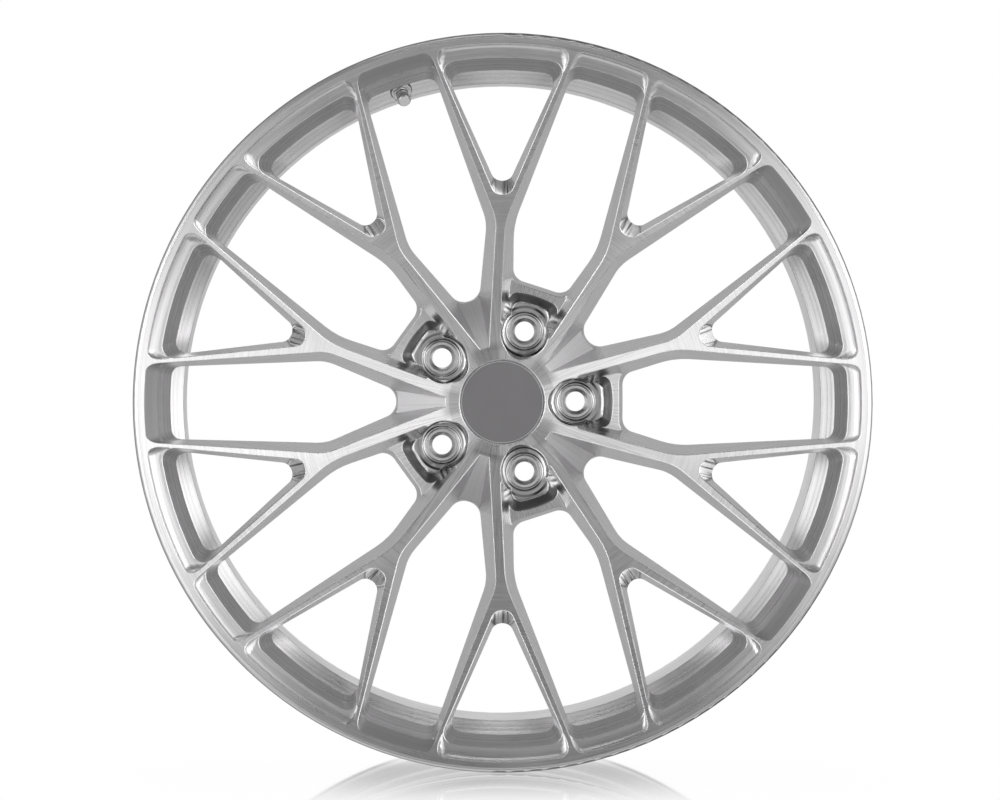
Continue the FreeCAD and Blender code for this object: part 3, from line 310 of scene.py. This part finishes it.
def finish_zones(n, coords, geometry, place):
    """Masks, 0 to 1, for the differently finished parts of the forging and for the places with painted
    shade and highlights.
    """
    facing = n.add("ShaderNodeSeparateXYZ", {"Vector": coords.outputs["Normal"]})
    forward = n.math("MULTIPLY", facing.outputs["Y"], -1.0)
    front = n.ramp(forward, *FACE_COSINES, smooth=True)
    walls = n.math("SUBTRACT", 1.0, front)
    rear = n.ramp(n.product(forward, -1.0), *FACE_COSINES, smooth=True)
    viewer = n.add("ShaderNodeSeparateXYZ", {"Vector": geometry.outputs["Incoming"]})
    seen_from_front = n.product(n.ramp(viewer.outputs["Y"], *FRONT_VIEW), n.ramp(forward, *FORWARD_FACING))
    near_bolt = n.ramp(place.from_bolt, POCKET_REACH, POCKET_REACH - WIDE_BLEND, smooth=True)
    below = n.product(n.ramp(place.y, POCKET_TOP, POCKET_TOP + WIDE_BLEND, smooth=True),
                      n.ramp(place.y, POCKET_END, POCKET_END - BLEND))
    inside = n.ramp(place.radius, FLUTE_LIMIT, FLUTE_LIMIT - BLEND)
    beyond = n.ramp(place.off_bolt, FLUTE_START, FLUTE_START + FLUTE_BLEND, smooth=True)
    leaning = n.product(*[n.ramp(forward, *limits) for limits in POCKET_WALL_FACING])
    beside_bolt = n.ramp(place.off_bolt, FLUTE_START, FLUTE_START - POCKET_WALL_END)
    in_crotch = n.ramp(place.from_fork, FORK_REACH, FORK_REACH - FORK_BLEND, smooth=True)
    depth = n.math("SUBTRACT", HALF_WIDTH, n.math("ABSOLUTE", place.y))
    return SimpleNamespace(
        front=front,
        flat=n.math("MAXIMUM", front, rear),
        pocket=n.product(near_bolt, below),
        pocket_wall=n.product(n.band(place.radius, POCKET_WALL, POCKET_WALL_HALF), leaning,
                              beside_bolt, below),
        flute=n.product(inside, beyond, walls, n.ramp(forward, *FLUTE_FACING)),
        crotch=n.product(in_crotch, walls, seen_from_front),
        plain_wall=n.product(n.ramp(place.off_bolt, PLAIN_WINDOW, PLAIN_WINDOW + PLAIN_ANGLE_BLEND),
                             n.ramp(place.radius, *PLAIN_START), n.ramp(place.radius, *PLAIN_STOP),
                             n.ramp(depth, *PLAIN_CREASE), walls, seen_from_front),
        hub_land_shade=n.product(n.ramp(place.radius, HUB_LAND, HUB_LAND - HUB_LAND_BLEND, smooth=True), front,
                           n.ramp(place.off_bolt, *HUB_LAND_ANGLES, smooth=True)),
        curl=n.product(n.ramp(place.radius, CURL_START, CURL_START + CURL_BLEND),
                       n.ramp(depth, CURL_DEPTH + CURL_DEPTH_BLEND, CURL_DEPTH)),
    )


def finish_lines(n, place, zone):
    """Turning lines are circles about the spin axis, milling lines follow the depth, the flutes
    are lined lengthwise, and the pockets carry rings about their bolt."""
    right = n.math("DIVIDE", place.x, place.radius)
    up = n.math("DIVIDE", place.z, place.radius)
    turned = tool_lines(n, place.radius, n.product(right, TURN_STREAK), GRAIN, n.product(up, TURN_STREAK))
    turned_fine = tool_lines(n, place.radius, n.product(right, FINE_STREAK), FINE_GRAIN,
                             n.product(up, FINE_STREAK))
    milled = tool_lines(n, place.y, n.product(place.radius, MILL_STREAK), GRAIN)
    rings = tool_lines(n, place.from_bolt, n.product(place.angle, RING_STREAK), GRAIN)
    lengthwise = tool_lines(n, place.angle, n.product(place.radius, HUB_STREAK), HUB_GRAIN)
    outer = n.ramp(place.radius, *LAND_LIMITS, smooth=True)
    face_lines = n.mix_value(outer, lengthwise, n.mix_value(FINE_SHARE, turned, turned_fine))
    lines = n.mix_value(zone.flat, n.mix_value(zone.flute, milled, lengthwise), face_lines)
    return n.mix_value(zone.pocket, lines, rings)


def seat_shadows(n, coords, place, zone):
    """Painted reflection: dark rings of shade, painted into the colour, where a polished pocket mirrors
    shade above and below its seat, a little broken up.
    """
    patches = n.noise(coords.outputs["Object"], PATCH_SCALE)
    shadows = n.ramp(patches, *PATCH_SPAN, 0.0, PATCH_DEPTH, smooth=True)
    for radius, half in SEAT_RINGS:
        shadows = n.math("MAXIMUM", shadows, n.band(place.from_bolt, radius, half))
    wide_patches = n.noise(coords.outputs["Object"], BREAK_SCALE, *BREAK_DETAIL)
    breaks = n.ramp(wide_patches, *BREAK_SPAN, *BREAK_DEPTHS, smooth=True)
    dark_side = n.ramp(place.upright, *UPRIGHT_SPAN, BESIDE_DEPTH, 1.0, smooth=True)
    return n.product(zone.pocket, shadows, breaks, dark_side)


def machined_aluminium():
    """Bare forging: turned faces, milled walls with tool lines, polished pockets, broken edges, and painted
    shade, highlights and reflections in some places.
    """
    material, n = new_material("machined_aluminium")
    coords = n.add("ShaderNodeTexCoord")
    geometry = n.add("ShaderNodeNewGeometry")
    place = wheel_place(n, coords)
    zone = finish_zones(n, coords, geometry, place)
    lines = finish_lines(n, place, zone)
    cloud = n.ramp(n.noise(coords.outputs["Object"], CLOUD_SCALE, *CLOUD_DETAIL), *GRAIN_SPAN,
                   -CLOUD_TONE, CLOUD_TONE)
    plunges = tool_lines(n, place.angle, n.product(place.y, PLUNGE_STREAK), PLUNGE_GRAIN)

    # Edges are broken: the bevelled normal turns there, and the metal is painted brighter there as a
    # painted highlight.
    edge = n.add("ShaderNodeBevel", {"Radius": EDGE_BREAK}, samples=EDGE_SAMPLES)
    turn = n.add("ShaderNodeVectorMath", {0: edge.outputs[0], 1: geometry.outputs["Normal"]},
                 operation="DOT_PRODUCT")
    off_curl = n.math("SUBTRACT", 1.0, zone.curl)
    broken = n.product(n.ramp(turn.outputs["Value"], *EDGE_TURN, smooth=True), off_curl)
    true_curl = {0: zone.curl, 4: turned_normal(n, place, edge.outputs[0]), 5: curl_normal(n, place)}
    smooth_normal = n.add("ShaderNodeMix", true_curl, data_type="VECTOR").outputs[1]
    to_front = {0: n.product(zone.crotch, CROTCH_TURN), 4: smooth_normal, 5: CROTCH_NORMAL}
    scooped_normal = n.add("ShaderNodeMix", to_front, data_type="VECTOR").outputs[1]

    grain_tone = n.ramp(lines, *GRAIN_SPAN, -GRAIN_TONE, GRAIN_TONE)
    base = n.math("ADD", METAL_TONE, n.math("ADD", grain_tone, cloud))
    # Painted reflection of shade: dark rings round each seat in the pockets.
    base = n.mix_value(seat_shadows(n, coords, place, zone), base, SHADOW_TONE)
    # Painted shade on the pockets' leaning outer walls.
    base = n.mix_value(n.product(zone.pocket_wall, POCKET_WALL_SHADE_SHARE), base, POCKET_WALL_SHADE)
    # Painted shade on the land round the cap, beside the flutes.
    base = n.mix_value(n.product(zone.hub_land_shade, HUB_LAND_SHADE_SHARE), base, HUB_LAND_SHADE)
    # Painted highlight in the flutes.
    base = n.mix_value(n.product(zone.flute, FLUTE_HIGHLIGHT_SHARE), base, HIGHLIGHT_TONE)
    # Painted highlights and shade along the crotch scallops.
    base = n.mix_value(zone.crotch, base, n.ramp(plunges, *CROTCH_SPAN, *CROTCH_LIGHT_AND_SHADE))
    # Painted shade on the plain windows' forward band.
    base = n.mix_value(n.product(zone.plain_wall, PLAIN_SHADE_SHARE), base, PLAIN_SHADE)
    # Painted highlight along the broken edges.
    base = n.mix_value(broken, base, HIGHLIGHT_TONE)
    green = n.product(base, GREEN_SHARE)
    colour = n.add("ShaderNodeCombineColor", {"Red": base, "Green": green, "Blue": base})

    rough = n.math("ADD", n.ramp(lines, *ROUGH_SPAN, *LINE_ROUGH), cloud)
    rough = n.mix_value(zone.pocket, rough, n.ramp(lines, *GRAIN_SPAN, *POCKET_ROUGH))
    rough = n.mix_value(n.math("MAXIMUM", zone.crotch, zone.flute), rough, MATT_ROUGH)
    rough = n.mix_value(zone.pocket_wall, rough, WALL_ROUGH)
    rough = n.mix_value(zone.plain_wall, rough, PLAIN_ROUGH)
    rough = n.mix_value(broken, rough, EDGE_ROUGH)
    bump = n.add("ShaderNodeBump", {
        "Strength": n.mix_value(zone.pocket, *BUMP_STRENGTH),
        "Distance": BUMP_DEPTH,
        "Height": lines,
        "Normal": scooped_normal,
    })
    tangent = n.add("ShaderNodeTangent", direction_type="RADIAL", axis="Y")
    brushed = n.math("SUBTRACT", BRUSHED, n.product(zone.pocket, BRUSHED))
    shader = n.add("ShaderNodeBsdfPrincipled", {
        "Base Color": colour.outputs[0],
        "Metallic": 1.0,
        "Roughness": rough,
        "Anisotropic": n.product(zone.front, brushed),
        "Anisotropic Rotation": BRUSHED_TURN,
        "Tangent": tangent.outputs[0],
        "Normal": bump.outputs[0],
    })
    finish_material(n, shader)
    return material


# ------------------------------------------------------------------ small parts
FINE_NOISE = (4.0, 0.6)       # detail and roughness of the small parts' grain
FINE_SPAN = (0.3, 0.7)
METAL_WIDER = 12.0            # how much wider the tone change is than the grain
METAL_DARKER = 0.05
METAL_LIGHTER = 0.04
METAL_ROUGHER = (-0.05, 0.07)
SMALL_EDGE = 0.0003
SMALL_EDGE_SAMPLES = 4
METAL_BUMP = 0.25
METAL_BUMP_DEPTH = 0.00005
SOFT_WIDER = 20.0
SOFT_TONES = (0.93, 1.07)
SOFT_ROUGHER = 0.06
SOFT_BUMP_DEPTH = 0.0001


def simple_metal(name, tone, rough, grain, tint=(0.0, 0.0, 0.0)):
    """Small turned metal parts: fine lathe grain and a little tone change."""
    material, n = new_material(name)
    coords = n.add("ShaderNodeTexCoord")
    fine = n.noise(coords.outputs["Object"], grain, *FINE_NOISE)
    wide = n.noise(coords.outputs["Object"], grain / METAL_WIDER)
    low = tuple(tone - METAL_DARKER + part for part in tint) + (1.0,)
    high = tuple(tone + METAL_LIGHTER + part for part in tint) + (1.0,)
    edge = n.add("ShaderNodeBevel", {"Radius": SMALL_EDGE}, samples=SMALL_EDGE_SAMPLES)
    bump = n.add("ShaderNodeBump", {
        "Strength": METAL_BUMP,
        "Distance": METAL_BUMP_DEPTH,
        "Height": fine,
        "Normal": edge.outputs[0],
    })
    shader = n.add("ShaderNodeBsdfPrincipled", {
        "Base Color": n.mix(wide, low, high),
        "Metallic": 1.0,
        "Roughness": n.ramp(fine, *FINE_SPAN, rough + METAL_ROUGHER[0], rough + METAL_ROUGHER[1]),
        "Normal": bump.outputs[0],
    })
    finish_material(n, shader)
    return material


def soft_part(name, colour, rough, grain, strength):
    """Rubber and mouldings: matt, with a fine cast grain."""
    material, n = new_material(name)
    coords = n.add("ShaderNodeTexCoord")
    fine = n.noise(coords.outputs["Object"], grain, *FINE_NOISE)
    wide = n.noise(coords.outputs["Object"], grain / SOFT_WIDER)
    low = tuple(part * SOFT_TONES[0] for part in colour) + (1.0,)
    high = tuple(min(part * SOFT_TONES[1], 1.0) for part in colour) + (1.0,)
    bump = n.add("ShaderNodeBump", {"Strength": strength, "Distance": SOFT_BUMP_DEPTH, "Height": fine})
    shader = n.add("ShaderNodeBsdfPrincipled", {
        "Base Color": n.mix(wide, low, high),
        "Roughness": n.ramp(fine, *FINE_SPAN, rough - SOFT_ROUGHER, rough + SOFT_ROUGHER),
        "Normal": bump.outputs[0],
    })
    finish_material(n, shader)
    return material


def dress_nodes():
    """One material for each slot in the record, put on the nodes that name it."""
    # Tone or colour, roughness and grain scale, then a metal's tint or a soft part's bump strength.
    materials = {
        "machined_aluminium": machined_aluminium(),
        "polished_steel": simple_metal("polished_steel", 0.95, 0.32, 2500.0),
        "valve_metal": simple_metal("valve_metal", 0.78, 0.24, 2500.0),
        "valve_brass": simple_metal("valve_brass", 0.62, 0.25, 3000.0, (0.12, 0.0, -0.3)),
        "spring_steel": simple_metal("spring_steel", 0.7, 0.28, 3000.0),
        "rubber": soft_part("rubber", (0.03, 0.03, 0.03), 0.7, 1500.0, 0.3),
        "cap_plastic": soft_part("cap_plastic", (0.55, 0.55, 0.56), 0.4, 900.0, 0.15),
        "cap_face": soft_part("cap_face", (0.245, 0.238, 0.245), 0.45, 900.0, 0.12),
    }
    slots = {entry["node"]: entry["material_slot"] for entry in frame["record"]["subparts"]}
    for name, node in frame["nodes"].items():
        node.data.materials.clear()
        node.data.materials.append(materials[slots[name]])


# ------------------------------------------------------------------ studio
# A direction into the studio is (x, y, z): y is -1 towards the camera and 1 behind the wheel,
# and its distance off the axis is the length of (x, z).  Pairs are the two ends of a blend.
LEVEL_BANK = 1.35             # white sides in front of the wheel
LEVEL_BELOW = 0.29
LEVEL_ABOVE = 0.19
LEVEL_UNDER = 0.72
LEVEL_CAMERA_SIDE = 0.32
LEVEL_SIDE = 0.55
LEVEL_ROOM = 0.17
LEVEL_BACKDROP = 0.62
LEVEL_LOW_BACKDROP = 0.78
LEVEL_HIGH_BACKDROP = 1.0
RISE_SPAN = 0.4               # z over which the grey between the banks goes from below to above
UNDER_Z = (-0.55, -0.90)      # the strip of lit floor under the wheel
UNDER_BEHIND = (0.40, 0.10)
UNDER_BEFORE = (-0.50, -0.38)
BANK_SIDEWAYS = (0.45, 1.0)   # how nearly sideways of the axis a bank lies
INNER_LIMITS = (0.75, 0.60)   # the banks' inner part, by distance off the axis
LEFT_X = (-0.05, -0.30)
RIGHT_X = (0.05, 0.30)
DIM_INNER_LEFT = (0.00, 0.18, 0.95)      # two ends of a blend, then how much the bank loses
DIM_INNER_HIGH_RIGHT = (0.10, 0.28, 0.85)
DIM_INNER_LOW_RIGHT = (-0.08, -0.28, 0.40)
DIM_OUTER_LEFT = (-0.46, -0.36, 0.85)
DIM_OUTER_RIGHT = (-0.10, -0.35, 0.85)
CENTRE_LIMITS = (0.10, 0.34)  # the camera's dim side, by distance off the axis
BACKDROP_Y = (0.66, 1.0)
BEHIND_Y = (0.10, 0.45)
MIDDLE_Y = (-0.15, 0.15)      # from what is in front to what is behind
FLOOR_IMAGE_LIMITS = (0.20, 0.13)
FLOOR_IMAGE_Y = (0.0, 0.1)
HORIZON_Z = 0.01
LEAST_OFF_AXIS = 0.001        # keeps the sideways share defined on the axis


def loss(n, value, limits):
    """How much level a bank loses, growing over a blend to its full amount."""
    begin, full, amount = limits
    return n.ramp(value, begin, full, 0.0, amount, smooth=True)


def studio_world():
    """White to the camera.  The metal sees a soft white backdrop straight behind the wheel, a
    grey room round it, and in front white side banks with grey above, below and between."""
    world = bpy.data.worlds.new("studio")
    world.use_nodes = True
    bpy.context.scene.world = world
    n = Nodes(world.node_tree)
    coords = n.add("ShaderNodeTexCoord")
    way = n.add("ShaderNodeSeparateXYZ", {"Vector": coords.outputs["Generated"]})
    x, y, z = (way.outputs[axis] for axis in "XYZ")
    off_axis = n.length(x, z)
    sideways = n.math("DIVIDE", n.math("ABSOLUTE", x), n.math("MAXIMUM", off_axis, LEAST_OFF_AXIS))

    vertical = n.ramp(z, -RISE_SPAN, RISE_SPAN, LEVEL_BELOW, LEVEL_ABOVE, smooth=True)
    under = n.product(n.ramp(z, *UNDER_Z, smooth=True), n.ramp(y, *UNDER_BEHIND, smooth=True),
                      n.ramp(y, *UNDER_BEFORE, smooth=True))
    bank = n.ramp(sideways, *BANK_SIDEWAYS, smooth=True)
    inner = n.ramp(off_axis, *INNER_LIMITS, smooth=True)
    outer = n.math("SUBTRACT", 1.0, inner)
    left = n.ramp(x, *LEFT_X, smooth=True)
    right = n.ramp(x, *RIGHT_X, smooth=True)
    dimmed = (
        n.product(inner, left, loss(n, z, DIM_INNER_LEFT)),
        n.product(inner, right, loss(n, z, DIM_INNER_HIGH_RIGHT)),
        n.product(inner, right, loss(n, z, DIM_INNER_LOW_RIGHT)),
        n.product(outer, left, loss(n, y, DIM_OUTER_LEFT)),
        n.product(outer, right, loss(n, z, DIM_OUTER_RIGHT)),
    )
    bank_level = LEVEL_BANK
    for part in dimmed:
        bank_level = n.math("SUBTRACT", bank_level, part)
    in_front = n.mix_value(bank, vertical, bank_level)
    centre = n.ramp(off_axis, *CENTRE_LIMITS, smooth=True)
    in_front = n.mix_value(centre, LEVEL_CAMERA_SIDE, in_front)

    backdrop = n.ramp(y, *BACKDROP_Y, LEVEL_ROOM, LEVEL_BACKDROP)
    beside = n.mix_value(bank, LEVEL_ROOM, LEVEL_SIDE)
    behind = n.mix_value(n.ramp(y, *BEHIND_Y, smooth=True), beside, backdrop)
    level = n.mix_value(n.ramp(y, *MIDDLE_Y, smooth=True), in_front, behind)
    level = n.mix_value(under, level, LEVEL_UNDER)
    floor_image = n.product(n.ramp(off_axis, *FLOOR_IMAGE_LIMITS, smooth=True), n.ramp(y, *FLOOR_IMAGE_Y))
    straight_behind = n.ramp(z, -HORIZON_Z, HORIZON_Z, LEVEL_LOW_BACKDROP, LEVEL_HIGH_BACKDROP)
    level = n.mix_value(floor_image, level, straight_behind)

    seen = n.add("ShaderNodeLightPath").outputs["Is Camera Ray"]
    strength = n.mix_value(seen, level, 1.0)
    background = n.add("ShaderNodeBackground", {"Color": grey(1.0), "Strength": strength})
    output = n.add("ShaderNodeOutputWorld")
    n.tree.links.new(background.outputs[0], output.inputs["Surface"])


# ------------------------------------------------------------------ floor, lights, camera
FLOOR_HALF = 6.0
FLOOR_NEAR = -2.4
FLOOR_FAR = 6.0
FLOOR_TONES = (0.97, 1.0)
FLOOR_ROUGH = 0.035
HAZE_SCALE = 3.0
MIRROR_STRENGTH = 0.62
MIRROR_NEAR = (-0.45, -0.13)  # Y over which the mirror image comes up towards the wheel
MIRROR_FAR = (-0.10, 0.05)    # and goes again under it
MIRROR_SIDE = (0.34, 0.18)
MIRROR_GLANCE = (0.25, 0.10)  # only glancing views see it
SOFT_BOXES = (                # name, place, size across and up, power
    ("left_box", (-2.4, -1.9, 0.5), (0.35, 1.4), 5.0),
    ("right_box", (2.4, -1.9, 0.7), (0.35, 1.4), 4.0),
    ("top_box", (0.0, -0.9, 2.4), (1.8, 0.25), 3.0),
)


def floor():
    """Pale glossy floor: it mirrors the rim where it touches and fades to plain white."""
    mesh = bpy.data.meshes.new("floor")
    corners = [(-FLOOR_HALF, FLOOR_NEAR, FLOOR_Z), (FLOOR_HALF, FLOOR_NEAR, FLOOR_Z),
               (FLOOR_HALF, FLOOR_FAR, FLOOR_Z), (-FLOOR_HALF, FLOOR_FAR, FLOOR_Z)]
    mesh.from_pydata(corners, [], [(0, 1, 2, 3)])
    plane = bpy.data.objects.new("floor", mesh)
    bpy.context.scene.collection.objects.link(plane)
    material, n = new_material("floor")
    coords = n.add("ShaderNodeTexCoord")
    place = n.add("ShaderNodeSeparateXYZ", {"Vector": coords.outputs["Object"]})
    haze = n.noise(coords.outputs["Object"], HAZE_SCALE)
    pale = n.mix(haze, grey(FLOOR_TONES[0]), grey(FLOOR_TONES[1]))
    gloss = n.add("ShaderNodeBsdfGlossy", {"Color": pale, "Roughness": FLOOR_ROUGH})
    glow = n.add("ShaderNodeEmission", {"Color": grey(1.0), "Strength": 1.0})
    geometry = n.add("ShaderNodeNewGeometry")
    viewer = n.add("ShaderNodeSeparateXYZ", {"Vector": geometry.outputs["Incoming"]})
    mirror = n.product(
        n.ramp(place.outputs["Y"], *MIRROR_NEAR, 0.0, MIRROR_STRENGTH, smooth=True),
        n.ramp(place.outputs["Y"], *MIRROR_FAR, 1.0, 0.0, smooth=True),
        n.ramp(n.math("ABSOLUTE", place.outputs["X"]), *MIRROR_SIDE, smooth=True),
        n.ramp(n.math("ABSOLUTE", viewer.outputs["Z"]), *MIRROR_GLANCE, smooth=True),
    )
    blend = n.add("ShaderNodeMixShader")
    n.tree.links.new(mirror, blend.inputs[0])
    n.tree.links.new(glow.outputs[0], blend.inputs[1])
    n.tree.links.new(gloss.outputs[0], blend.inputs[2])
    finish_material(n, blend)
    mesh.materials.append(material)
    plane.visible_glossy = False      # the metal mirrors the studio, not this sheet
    plane.visible_diffuse = False


def area_light(name, place, target, size, power):
    data = bpy.data.lights.new(name, "AREA")
    data.shape = "RECTANGLE"
    data.size, data.size_y = size
    data.energy = power
    light = bpy.data.objects.new(name, data)
    light.location = place
    light.rotation_euler = (Vector(target) - Vector(place)).to_track_quat("-Z", "Y").to_euler()
    bpy.context.scene.collection.objects.link(light)


def lights():
    """Narrow soft boxes that draw the highlights in corners and on broken edges."""
    centre = (0.0, -HALF_WIDTH, 0.0)
    for name, place, size, power in SOFT_BOXES:
        area_light(name, place, centre, size, power)


def camera():
    data = bpy.data.cameras.new("camera")
    data.sensor_width = SENSOR_WIDTH
    data.lens = SENSOR_WIDTH * WHEEL_SHARE * VIEW_DISTANCE / (2.0 * WHEEL_RADIUS)
    data.shift_x, data.shift_y = LENS_SHIFT
    data.clip_end = VIEW_END
    view = bpy.data.objects.new("camera", data)
    target = Vector((0.0, -HALF_WIDTH, 0.0))
    view.location = target + Vector((CAMERA_SIDE, -VIEW_DISTANCE, CAMERA_RISE))
    view.rotation_euler = (target - view.location).to_track_quat("-Z", "Y").to_euler()
    bpy.context.scene.collection.objects.link(view)
    bpy.context.scene.camera = view


def smooth_shading():
    """Even out the shading of the long thin facets on the forging's turned surfaces.  The
    modifier changes normals only."""
    modifier = frame["nodes"]["wheel_forging"].modifiers.new("even_normals", "WEIGHTED_NORMAL")
    modifier.keep_sharp = True


dress_nodes()
smooth_shading()
studio_world()
floor()
lights()
camera()
bpy.context.scene.view_settings.view_transform = "Standard"
